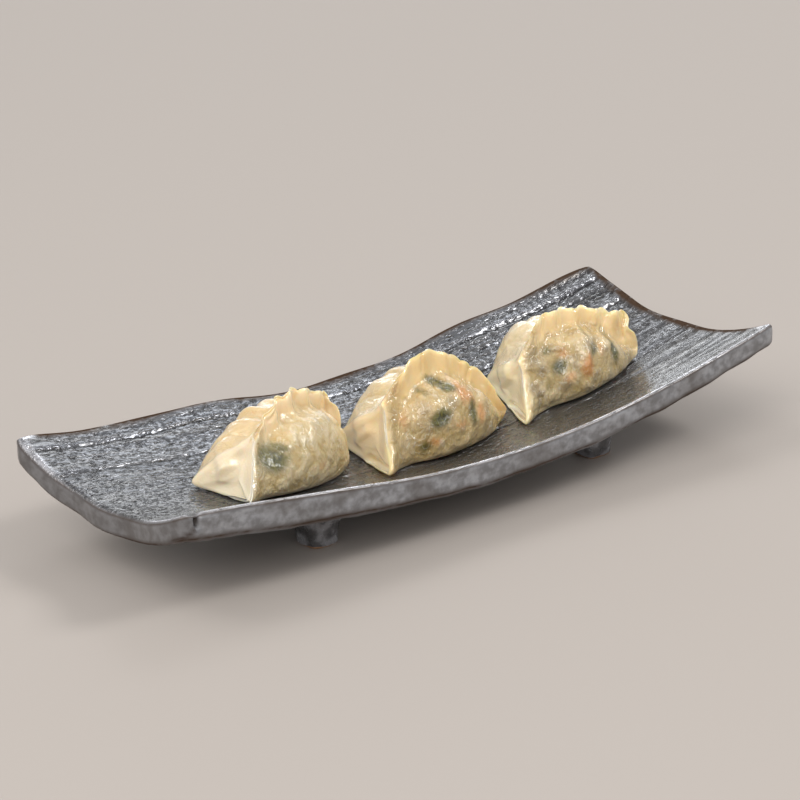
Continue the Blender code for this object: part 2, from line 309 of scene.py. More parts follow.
def finish_tree(tree, geometry, material):
    """Ends the tree in Realize Instances and Set Material."""
    real = add_node(tree, "GeometryNodeRealizeInstances", {"Geometry": geometry})
    dressed = add_node(tree, "GeometryNodeSetMaterial", {"Geometry": real.outputs[0], "Material": material})
    add_node(tree, "NodeGroupOutput", {"Geometry": dressed.outputs[0]})


def run_tree(obj, tree, values):
    """Sets the tree's inputs by their identifiers and keeps what it makes as the object's plain mesh."""
    modifier = obj.modifiers.new(tree.name, "NODES")
    modifier.node_group = tree
    for item in tree.interface.items_tree:
        if item.in_out == "INPUT" and item.name in values:
            modifier[item.identifier] = values[item.name]
    bpy.context.view_layer.update()
    depsgraph = bpy.context.evaluated_depsgraph_get()
    evaluated = obj.evaluated_get(depsgraph)
    made = bpy.data.meshes.new_from_object(evaluated, preserve_all_data_layers=True, depsgraph=depsgraph)
    obj.modifiers.clear()
    obj.data = made
    made.shade_smooth()


def named(tree, name):
    """A number kept on each point of the mesh."""
    made = add_node(tree, "GeometryNodeInputNamedAttribute", {"Name": name}, data_type="FLOAT")
    return Amount(tree, made.outputs["Attribute"])


def keep(tree, geometry, name, amount):
    """Keeps an amount on each point of the mesh, for the material to read."""
    numbers = {"Geometry": geometry, "Name": name, "Value": amount}
    kept = add_node(tree, "GeometryNodeStoreNamedAttribute", numbers, data_type="FLOAT", domain="POINT")
    return kept.outputs["Geometry"]


def push(tree, geometry, direction, amount):
    """Moves each point along a direction by an amount."""
    step = add_node(tree, "ShaderNodeVectorMath", {0: direction, "Scale": amount}, operation="SCALE")
    moved = add_node(tree, "GeometryNodeSetPosition", {"Geometry": geometry, "Offset": step.outputs[0]})
    return moved.outputs["Geometry"]


def start_material(name):
    """A new material, its tree, its shader and the place of each point on the piece."""
    material = bpy.data.materials.new(name)
    material.use_nodes = True
    tree = material.node_tree
    place = add_node(tree, "ShaderNodeTexCoord").outputs["Object"]
    return material, tree, tree.nodes["Principled BSDF"], place


def painted(tree, name):
    """A number kept on each point, as the material reads it."""
    made = add_node(tree, "ShaderNodeAttribute", attribute_name=name, attribute_type="GEOMETRY")
    return Amount(tree, made.outputs["Fac"])


def axis_amounts(tree, place):
    """The three parts of a place."""
    parts = add_node(tree, "ShaderNodeSeparateXYZ", {0: place})
    return [Amount(tree, socket) for socket in parts.outputs]


def mixed(tree, share, first, second):
    """A colour that goes from the first to the second with the share."""
    numbers = {0: share}
    for key, colour in ((6, first), (7, second)):
        numbers[key] = (*colour, 1.0) if isinstance(colour, tuple) else colour
    return add_node(tree, "ShaderNodeMix", numbers, data_type="RGBA").outputs[2]


def layered(tree, palette, first, shares):
    """The first colour with others of the palette laid over it in turn, each with its share."""
    colour = palette[first]
    for name, share in shares.items():
        colour = mixed(tree, share, colour, palette[name])
    return colour


def bumped(tree, height, distance, strength, normal=None):
    """A bump of that height in metres, on top of another bump where one is given."""
    numbers = {"Height": height, "Distance": distance, "Strength": strength}
    if normal:
        numbers["Normal"] = normal
    return add_node(tree, "ShaderNodeBump", numbers).outputs[0]


def half_width(along):
    """Half the plate's width at a place along it, -1 to 1, in millimetres."""
    return PLATE_WIDTH / 2 * (1.0 + LEFT_END_NARROWER * along - END_NARROWING * along**2)


def plate_top(x, y):
    """Height of the plate's upper face over the table, all in millimetres."""
    along = np.clip(x / (PLATE_LENGTH / 2), -1.0, 1.0)
    across = np.abs(y) / half_width(along)
    ends = END_RISE * along**2 + END_RISE_TILT * along**3 - END_RISE_FLATTENING * along**4
    sides = SIDE_RISE * across**SIDE_CURVE_POWER * (1 - SIDE_RISE_LOSS_AT_ENDS * along**2)
    return CLEARANCE_AT_MIDDLE + PLATE_THICKNESS + ends + sides


def cut_outline(along, across):
    """Where a place on the rolled slab, -1 to 1 both ways, lies, in millimetres."""
    waver = EDGE_WAVER * (np.sin(7 * along + 1) + 0.6 * np.sin(17 * along))
    x = along * PLATE_LENGTH / 2 * (1 - CORNER_ROUNDING * np.abs(across) ** CORNER_POWER)
    x += EDGE_WAVER * np.sin(9 * across + 2 * along) * np.abs(along) ** 8
    bow = np.where(along < 0, LEFT_END_BOW, RIGHT_END_BOW) * (1 - across**2)
    x -= np.sign(along) * bow * np.abs(along) ** 6
    corner = np.maximum(-along * across, 0.0) ** 6
    x += np.sign(along) * (END_LIP + CORNER_SWELL * corner) * np.abs(along) ** 10
    y = across * half_width(along) * (1 - 2 * CORNER_ROUNDING * np.abs(along) ** (2 * CORNER_POWER))
    y += waver * np.abs(across) ** 8
    return np.stack([x, y], -1)


def slab_sheet(cells_along, cells_across, inset):
    """One face of the slab as a flat grid of points, that far inside the cut edge."""
    along = np.linspace(-1, 1, cells_along + 1) * (1 - inset / (PLATE_LENGTH / 2))
    across = np.linspace(-1, 1, cells_across + 1) * (1 - inset / (PLATE_WIDTH / 2))
    return cut_outline(*np.meshgrid(along, across, indexing="ij"))


def rim_order(rows, columns):
    """The indices of a grid's outer points, in order round it."""
    index = np.arange(rows * columns).reshape(rows, columns)
    return np.concatenate([index[:-1, 0], index[-1, :-1], index[:0:-1, -1], index[0, :0:-1]])


def grid_faces(rows, columns):
    index = np.arange(rows * columns).reshape(rows, columns)
    return np.stack([index[:-1, :-1], index[1:, :-1], index[1:, 1:], index[:-1, 1:]], -1).reshape(-1, 4)


def flat_slab():
    """The rolled slab before it is slumped: two faces and a wall with rounded edges, in metres."""
    upper = slab_sheet(CELLS_ALONG, CELLS_ACROSS, EDGE_ROUND)
    shape = upper.shape[:2]
    rim = rim_order(*shape)
    upper = upper.reshape(-1, 2)
    turn = np.roll(upper[rim], -1, 0) - np.roll(upper[rim], 1, 0)
    outward = np.stack([turn[:, 1], -turn[:, 0]], -1) / np.linalg.norm(turn, axis=1, keepdims=True)
    arc = np.linspace(0, math.pi / 2, ARC_STEPS + 1)[1:]
    straight = np.linspace(EDGE_ROUND, PLATE_THICKNESS - EDGE_ROUND, WALL_STEPS + 1)[1:]
    profile = [(EDGE_ROUND * math.sin(t), EDGE_ROUND * (1 - math.cos(t))) for t in arc]
    profile += [(EDGE_ROUND, depth) for depth in straight]
    profile += [(EDGE_ROUND * math.cos(t), PLATE_THICKNESS - EDGE_ROUND * (1 - math.sin(t))) for t in arc]
    points = [np.column_stack([upper, np.zeros(len(upper))])]
    faces = list(grid_faces(*shape))
    last = rim
    count = len(upper)
    for out, depth in profile:
        points.append(np.column_stack([upper[rim] + outward * out, np.full(len(rim), depth)]))
        ring = count + np.arange(len(rim))
        count += len(rim)
        faces += list(np.stack([last, ring, np.roll(ring, -1), np.roll(last, -1)], -1))
        last = ring
    lower = slab_sheet(CELLS_ALONG // UNDERSIDE_SHARE, CELLS_ACROSS // UNDERSIDE_SHARE, UNDERSIDE_INSET)
    shape = lower.shape[:2]
    faces += [face[::-1] + count for face in grid_faces(*shape)]
    inner = rim_order(*shape) + count
    for k, near in enumerate(inner):
        outer = [last[(k * UNDERSIDE_SHARE + step) % len(last)] for step in range(UNDERSIDE_SHARE + 1)]
        faces.append([near, *outer, inner[(k + 1) % len(inner)]])
    lower = lower.reshape(-1, 2)
    points.append(np.column_stack([lower, np.full(len(lower), PLATE_THICKNESS)]))
    points = np.concatenate(points)
    points[:, 2] *= -1
    return points * MM, [tuple(int(i) for i in face) for face in faces]


def glaze_material():
    """Dark metallic glaze: a cooler, lighter tone behind that is partly painted cold reflection, brushed
    and warmer in front, brown lips. Painted highlights lie on glint flakes, groove banks, the right end's
    raised bands and the near lips; painted shade lies in grooves, strokes and scratches.
    """
    material, tree, shader, place = start_material("gunmetal_glaze")
    x, y, _ = axis_amounts(tree, place)
    wall, groove, stroke, ridge, plank, lip, lip_gloss_and_highlight, crack, seam = (
        painted(tree, key)
        for key in ("wall", "groove", "stroke", "ridge", "plank", "lip", "lip_gloss_and_highlight", "crack", "seam")
    )
    rear = y.ramp(-0.036, 0.004)
    calm = x.ramp(-0.06, -0.1) * y.ramp(0.016, -0.014) * wall.opposite()
    clouds = grain(tree, place, (0.03, 0.012, 0.02), detail=4.0)
    # Share of the back half, whose cooler, lighter colour is partly painted reflection.
    behind = (y + clouds * 0.02).ramp(-0.016, 0.012)
    brush = grain(tree, place, (0.05, 0.0008, 0.05), seed=3.0, detail=3.0)
    fine = grain(tree, place, (0.0016, 0.0006, 0.0012), seed=5.0, detail=3.0)
    mottle = grain(tree, place, (0.0035, 0.0035, 0.003), seed=7.0, detail=5.0)
    scratch = grain(tree, place, (0.0044, 0.00095, 0.01), seed=9.0, detail=1.0).ramp(0.53, 0.66)
    scratch = scratch * (calm * -0.75 + 1.0)
    # Glint flakes: raised silvery flecks painted lighter as glints, mostly on the back half.
    glint_flake = grain(tree, place, (0.0034, 0.0007, 0.01), seed=13.0, detail=1.5).ramp(0.54, 0.64)
    glint_flake = glint_flake * grain(tree, place, (0.016, 0.006, 0.02), seed=15.0, detail=2.0).ramp(0.38, 0.62)
    glint_flake = glint_flake * (rear * 0.85 + 0.15)
    brown = lip * (mottle * 0.6 + clouds * 0.8).ramp(0.35, 0.75)

    # Over the glaze's tones go painted highlights on behind, plank, bank and glint flakes, and painted
    # shade in scratches, strokes and grooves.
    face = layered(tree, GLAZE, "in front", {
        "behind": behind,
        "ends": (x.size() - y * 0.4).ramp(0.07, 0.13) * 0.55,
        "right end": x.ramp(0.1, 0.135) * 0.75,
        "brushed": brush.ramp(0.42, 0.62) * 0.5,
        "calm corner": calm * 0.4,
        "scratch": scratch * 0.6,
        "stroke": stroke * 0.6,
        "plank": plank * 0.4,
        "bank": ridge * 0.28,
        "glint_flake": glint_flake * 0.5,
        "groove": groove.ramp(0.3, 0.9) * 0.85,
    })
    side = layered(tree, GLAZE, "wall", {
        "wall glint": mottle.ramp(0.32, 0.72),
        "wall cloud": clouds.ramp(0.5, 0.66) * 0.6,
    })
    whole = layered(tree, {**GLAZE, "plain": mixed(tree, wall, face, side)}, "plain", {
        "left end wall": wall * x.ramp(-0.128, -0.138) * 0.5,
        "painted lip highlight": lip_gloss_and_highlight * mottle.ramp(0.25, 0.5) * 0.85,
        "thin lip": brown,
        "seam": seam * 0.9,
        "crack": crack.ramp(0.15, 0.8),
    })

    worked = (brush * 0.4 - scratch * 0.7 + glint_flake * 0.45) * wall.opposite()
    low = bumped(tree, worked + fine * (rear * 0.08 + 0.04), 0.0006, 0.8)
    glazed = bumped(tree, mottle, 0.0004, 0.3, low)
    fill_inputs(tree, shader, {
        "Base Color": whole,
        "Roughness": fine * 0.1 + wall * 0.14 - lip_gloss_and_highlight * 0.1 - behind * 0.06 + brown * 0.15 + 0.22,
        "Metallic": (crack + brown * 0.85).opposite() * (calm * -0.3 + 0.7),
        "Specular IOR Level": brown * -0.5 - calm * 0.3 + 0.5,
        "Coat Weight": brown.opposite() * calm.opposite() * 0.3,
        "Coat Roughness": 0.1,
        "Normal": glazed,
        "Coat Normal": glazed,
    })
    return material


points, faces = flat_slab()
slab_mesh = bpy.data.meshes.new("plate_slab")
slab_mesh.from_pydata(points, [], faces)
slab_depth = slab_mesh.attributes.new("depth", "FLOAT", "POINT")
slab_depth.data.foreach_set("value", (points[:, 2] / (-PLATE_THICKNESS * MM)).astype(np.float32))
slab = put("plate_slab", slab_mesh)

slab_sizes = {
    "Half length": PLATE_LENGTH / 2 * MM,
    "Half width": PLATE_WIDTH / 2 * MM,
    "Middle height": (CLEARANCE_AT_MIDDLE + PLATE_THICKNESS) * MM,
    "End rise": END_RISE * MM,
    "End rise tilt": END_RISE_TILT * MM,
    "End rise flattening": END_RISE_FLATTENING * MM,
    "Side rise": SIDE_RISE * MM,
    "Side curve power": SIDE_CURVE_POWER,
    "Side rise loss": SIDE_RISE_LOSS_AT_ENDS,
    "Edge spring": 3.9 * MM,
    "Front thickening": 2.3 * MM,
    "Groove depth": 0.65 * MM,
    "Groove width": 0.5 * MM,
    "Ridge height": 0.25 * MM,
    "Groove waver": 1.4 * MM,
    "Stroke depth": 0.5 * MM,
    "Stroke length": 2.9 * MM,
    "Stroke width": 1.05 * MM,
    "Brush depth": 0.14 * MM,
    "Plank depth": 0.7 * MM,
    "Wall lump": 0.8 * MM,
    "Edge drip": 1.6 * MM,
    "Crack depth": 2.4 * MM,
    "Seed": 12,
    "Material": glaze_material(),
}
slump, size = start_tree("slump_and_rake", slab_sizes)
flat_place = add_node(slump, "GeometryNodeInputPosition").outputs[0]
x, y, _ = axis_amounts(slump, flat_place)
depth = named(slump, "depth")
along = (x / size["Half length"]).maths("MINIMUM", 1.0).maths("MAXIMUM", -1.0)
taper = along * LEFT_END_NARROWER + 1.0 - along.squared() * END_NARROWING
across = y / size["Half width"] / taper
bend = along.squared() * size["End rise"] + along.squared() * along * size["End rise tilt"]
bend = bend - along.squared().squared() * size["End rise flattening"]
side_share = (along.squared() * size["Side rise loss"]).opposite()
bend = bend + across.size().maths("POWER", size["Side curve power"]) * size["Side rise"] * side_share
bend = bend + size["Middle height"]
for side, place, half, share in EDGE_SPRINGS:
    sprung = x.near(place * MM, half * MM) * (across * side).ramp(0.4, 1.08) * share
    bend = bend + sprung * size["Edge spring"]


def clay_grain(grains, detail, distortion=0.0):
    """A soft random amount over the flat slab, by the tree's seed."""
    return grain(slump, flat_place, grains, size["Seed"], detail, distortion)


on_top = depth.ramp(0.0, 0.12).opposite()
inside = across.size().ramp(0.93, 0.985).opposite() * along.size().ramp(0.975, 0.992).opposite()
wander = clay_grain((0.045, 0.5, 0.5), 3.0)
lane = y + (wander - 0.5) * size["Groove waver"]
groove = ridge = None
for share, at_left in GROOVES:
    aside = lane - taper * size["Half width"] * share
    strength = along.ramp(-0.45, -0.05) * (1.0 - at_left) + at_left
    line = aside.near(0.0, size["Groove width"]) * strength
    bank = aside.near(GROOVE_BANK[0] * MM, GROOVE_BANK[1] * MM) * strength
    groove = line if groove is None else groove + line
    ridge = bank if ridge is None else ridge + bank
stroke_parts = {0: size["Stroke length"], 1: size["Stroke width"], 2: 1.0}
stroke_size = add_node(slump, "ShaderNodeCombineXYZ", stroke_parts)
strokes = clay_grain(stroke_size.outputs[0], 1.0, 0.3)
patches = clay_grain((0.03, 0.012, 1.0), 2.0)
left_end = along.ramp(-0.7, -0.4).opposite() * across.ramp(-0.9, -0.2)
scored = across.ramp(-0.22, 0.1).maths("MAXIMUM", left_end)
scored = scored * patches.ramp(0.3, 0.5) * 0.85 + 0.12
stroke = strokes.ramp(0.5, 0.62) * scored * on_top
brush = clay_grain((0.06, 0.0016, 1.0), 3.0)
planks = clay_grain((0.12, 0.005, 1.0), 0.0)
plank = planks.ramp(0.42, 0.58) * along.ramp(0.35, 0.75)
relief = groove * size["Groove depth"] + stroke * size["Stroke depth"]
relief = relief + brush * size["Brush depth"] + plank * size["Plank depth"]
relief = relief - ridge * size["Ridge height"]
drip = clay_grain((0.022, 0.022, 1.0), 2.0)
hang = depth * (drip - 0.5) * size["Edge drip"] * -2.0
thickened = x.near(THICK_FRONT[0] * MM, THICK_FRONT[1] * MM) * (across * -1.0).ramp(0.7, 1.0) * depth
hang = hang - thickened * size["Front thickening"]
rise = bend - relief * on_top * inside + hang
kept = push(slump, size["Geometry"], (0.0, 0.0, 1.0), rise)

wall = depth.ramp(0.04, 0.2)
lumps = clay_grain((0.014, 0.014, 0.006), 3.0)
past_crack = x - CRACK_X * MM + (y - CRACK_Y * MM) * 0.35
crack = past_crack.near(0.0, CRACK_MOUTH * MM) * depth.ramp(0.05, 0.35).opposite()
crack = crack.maths("MAXIMUM", past_crack.near(0.0, CRACK_TAIL * MM) * depth.ramp(0.4, 0.75).opposite())
crack = crack * (y / MM).ramp(CRACK_Y + 1.5, CRACK_Y - 0.5)
seam = (depth - SEAM_START + past_crack * SEAM_SLOPE).near(0.0, 0.09)
seam = seam * past_crack.ramp(0.0, -1.0 * MM) * (y / MM).ramp(CRACK_Y + 8.0, CRACK_Y + 3.0)
normal = add_node(slump, "GeometryNodeInputNormal").outputs[0]
swell = (lumps - 0.5) * size["Wall lump"] * 2.0 * wall * depth.ramp(0.85, 1.0).opposite()
# The near front and left edges. The painted lip highlight lies only on them, the brown far lip only off
# them.
seen_edge = across.ramp(-0.7, -0.9).maths("MAXIMUM", along.ramp(-0.93, -0.97))
far_lip = depth.near(0.04, 0.07) * seen_edge.opposite() * inside.opposite()
for name, amount in {
    "wall": wall,
    "groove": groove * on_top * inside,
    "stroke": stroke * inside,
    "ridge": ridge * on_top * inside,
    # The raised bands between the planks at the right end, which get the painted sheen.
    "plank": (plank * -1.0 + along.ramp(0.35, 0.75)) * on_top * inside,
    "lip": depth.near(0.125, 0.045) + depth.near(0.93, 0.09) + far_lip * 1.6,
    "lip_gloss_and_highlight": depth.near(0.03, 0.04) * seen_edge * inside.opposite(),
    "crack": crack,
    "seam": seam,
}.items():
    kept = keep(slump, kept, name, amount)
kept = push(slump, kept, normal, swell - crack * size["Crack depth"])
finish_tree(slump, kept, size["Material"])
run_tree(slab, slump, slab_sizes)
slab.data.transform(Matrix.Translation((CENTRE_SHIFT[0] * MM, CENTRE_SHIFT[1] * MM, 0)))
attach(slab, "root")
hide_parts("plate")


# Feet
# Four squarish stubs of the same clay, pressed on by hand so that they flare into the slab.
# They are dipped in the glaze down to a thin bare ring of toasted clay round each sole.

FEET = {
    "foot_front_left": (-61.0, -21.0),
    "foot_back_left": (-61.0, 21.0),
    "foot_front_right": (74.0, -21.0),
    "foot_back_right": (74.0, 21.0),
}
FOOT_BASE_HALF = 6.2
FOOT_TOP_HALF = 9.5
FOOT_FLARE_POWER = 2.4
FOOT_SQUARENESS = 4.0
FOOT_SINK = 4.0
FOOT_SEGMENTS = 72
FOOT_RINGS = 26
SOLE_ROUND = 0.9
FOOT_WOBBLE = 0.025
FOOT_RIPPLE = 0.015
BARE_CLAY = (0.38, 0.2, 0.1)


def foot_material():
    """Thick pooled glaze over a bare clay edge."""
    material, tree, shader, place = start_material("foot_glaze")
    z = axis_amounts(tree, place)[2]
    pits = grain(tree, place, (0.0022, 0.0022, 0.003), seed=2.0, detail=4.0)
    clouds = grain(tree, place, (0.007, 0.007, 0.005), seed=4.0, detail=3.0)
    bare = (z + clouds * 0.0016).ramp(0.0018, 0.0014)
    glaze = mixed(tree, clouds.ramp(0.4, 0.62), (0.13, 0.127, 0.13), (0.38, 0.38, 0.4))
    fill_inputs(tree, shader, {
        "Base Color": mixed(tree, bare, glaze, BARE_CLAY),
        "Metallic": bare.opposite() * 0.5,
        "Roughness": bare * 0.5 + pits * 0.2 + 0.16,
        "Coat Weight": 0.3,
        "Coat Roughness": 0.12,
        "Normal": bumped(tree, pits, 0.0007, 0.5),
    })
    return material


foot_glaze = foot_material()
for number, (name, (foot_x, foot_y)) in enumerate(FEET.items()):
    top = plate_top(foot_x, foot_y) - PLATE_THICKNESS + FOOT_SINK
    foot_bm = bmesh.new()
    bmesh.ops.create_cone(
        foot_bm, cap_ends=True, segments=FOOT_SEGMENTS, radius1=1.0, radius2=1.0, depth=1.0
    )
    upright = [e for e in foot_bm.edges if abs(e.verts[0].co.z - e.verts[1].co.z) > 0.5]
    bmesh.ops.subdivide_edges(foot_bm, edges=upright, cuts=FOOT_RINGS)
    for vertex in foot_bm.verts:
        share = vertex.co.z + 0.5
        angle = math.atan2(vertex.co.y, vertex.co.x)
        height = top * share
        half = FOOT_BASE_HALF + (FOOT_TOP_HALF - FOOT_BASE_HALF) * share**FOOT_FLARE_POWER
        half -= SOLE_ROUND * max(0.0, 1 - height / SOLE_ROUND) ** 2
        wobble = FOOT_WOBBLE * math.sin(3 * angle + number)
        half *= 1 + wobble + FOOT_RIPPLE * math.sin(7 * angle + 2 * number + 5 * share)
        c, s = abs(math.cos(angle)), abs(math.sin(angle))
        reach = half / (c**FOOT_SQUARENESS + s**FOOT_SQUARENESS) ** (1 / FOOT_SQUARENESS)
        place = (reach * math.cos(angle) + foot_x, reach * math.sin(angle) + foot_y, height)
        vertex.co = Vector((place[0] + CENTRE_SHIFT[0], place[1] + CENTRE_SHIFT[1], place[2])) * MM
    foot_mesh = bpy.data.meshes.new(name)
    foot_bm.to_mesh(foot_mesh)
    foot_bm.free()
    foot_mesh.materials.append(foot_glaze)
    foot_mesh.shade_smooth()
    foot = put(name, foot_mesh)
    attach(foot, "root")
    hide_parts("plate")


# Dumplings: the wrapper
# A round of thin dough folded over a spoonful of filling and pinched shut along the top.
# One end is folded in to a dented three-cornered face, the other is pinched to a point, and the
# sealed rim stands up in overlapping pleats.

GAP_TO_PLATE = 0.3
RIM_HALF_THICKNESS = 1.3
SECTION_POINTS = 18
FRONT_DENT = 1.8
SOFTENING = 20.0
PLEAT_RISE = 3.2
PLEAT_DROP = 0.9
LOBE_AHEAD = 0.5
BLADE_PLACE = 2.55
RINGS = 380
RING_POINTS = 230


def smooth_step(low, high, value):
    t = np.clip((value - low) / (high - low), 0.0, 1.0)
    return t * t * (3.0 - 2.0 * t)


def bell(value, half_width):
    return np.exp(-((value / half_width) ** 2))


def spline_basis(count, samples, closed):
    """Rows of uniform cubic B-spline weights. An open line is held at its two ends by repeating them."""
    start = np.floor(samples).astype(int)
    t = samples - start
    weights = ((1 - t) ** 3, 3 * t**3 - 6 * t**2 + 4, -3 * t**3 + 3 * t**2 + 3 * t + 1, t**3)
    basis = np.zeros((len(samples), count))
    for k, weight in enumerate(weights):
        index = start + k - 1
        index = index % count if closed else np.clip(index, 0, count - 1)
        np.add.at(basis, (np.arange(len(samples)), index), weight / 6)
    return basis


def flank(crest, shoulder, foot, swell):
    """Eight points down one side of a section: straight at the folded end, full over the filling."""
    crest = np.array(crest)
    foot = np.array((*foot, 0.0))
    skin = np.array((0.0, np.sign(foot[1] - crest[1]) * RIM_HALF_THICKNESS, 0.0))
    height = shoulder / crest[2]
    straight = ((0.01, 0.94), (0.14, 0.82), (0.3, 0.66), (0.48, 0.48), (0.68, 0.28), (0.9, 0.08))
    full = ((0.0, 1.0 - 0.12 * (1 - height)), (0.0, height + 0.04), (0.16, height - 0.03),
            (0.66, 0.95 * height), (1.03, 0.64 * height), (1.07, 0.22 * height))
    points = []
    for (plain_out, plain_up), (full_out, full_up) in zip(straight, full):
        out = plain_out + (full_out - plain_out) * swell
        up = plain_up + (full_up - plain_up) * swell
        ground = crest * (1, 1, 0) + (foot - crest * (1, 1, 0)) * out
        points.append(ground + skin + (0, 0, crest[2] * up))
    middle = crest * (1, 1, 0) * 0.4 + foot * 0.6
    return points + [foot * (1, 0.95, 1), middle]


def wrapper_controls(sections, tip):
    """The control rings of one dumpling, from the dented fold in front to the pinched far end."""
    rings = []
    for x, crest_y, crest_z, shoulder, right, left, right_ahead, left_ahead, swell in sections:
        crest = (x, crest_y, crest_z)
        left_shoulder = crest_z - 0.7 * (crest_z - shoulder)
        left_swell = min(1.0, 0.15 + 1.3 * swell)
        right_side = flank(crest, shoulder, (x + right_ahead, right), swell)
        left_side = flank(crest, left_shoulder, (x + left_ahead, left), left_swell)
        base = (right_side[-1] + left_side[-1]) / 2
        rings.append([np.array(crest)] + right_side + [base] + left_side[::-1])
    rings = np.array(rings)
    edge = rings[0]
    middle = edge.mean(0) * (1, 1, 0.8) + (FRONT_DENT, 0, 0)
    inner = 0.5 * (edge + middle) + (0.7 * FRONT_DENT, 0, 0)
    start = np.repeat(middle[None], SECTION_POINTS, 0)
    end = np.repeat(np.array(tip)[None], SECTION_POINTS, 0)
    return np.concatenate([start[None], inner[None], edge[None], rings, end[None]])


def outward(skin):
    """The direction out of the skin at each point."""
    ahead = np.gradient(skin, axis=0)
    round_it = np.roll(skin, -1, 1) - np.roll(skin, 1, 1)
    normal = np.cross(ahead, round_it)
    return normal / np.maximum(np.linalg.norm(normal, axis=-1, keepdims=True), 1e-9)


def past_fold(skin, fold):
    """How far each point lies past a fold's line, and how much of the fold comes down to it."""
    top_x, top_z, low_x, low_z, _ = fold
    x, z = skin[..., 0], skin[..., 2]
    line = top_x + (low_x - top_x) * (top_z - z) / (top_z - low_z)
    return x - line, smooth_step(low_z - 2.5, low_z + 1.5, z)


def fold_step(skin, fold, side):
    """A pleat: the skin thickens up to the fold's line and drops sharply to the next layer."""
    past, reached = past_fold(skin, fold)
    before = np.exp(np.minimum(past, 0) / PLEAT_RISE)
    after = np.exp(-np.maximum(past, 0) / PLEAT_DROP)
    return fold[4] * np.where(past < 0, before, after) * reached * side


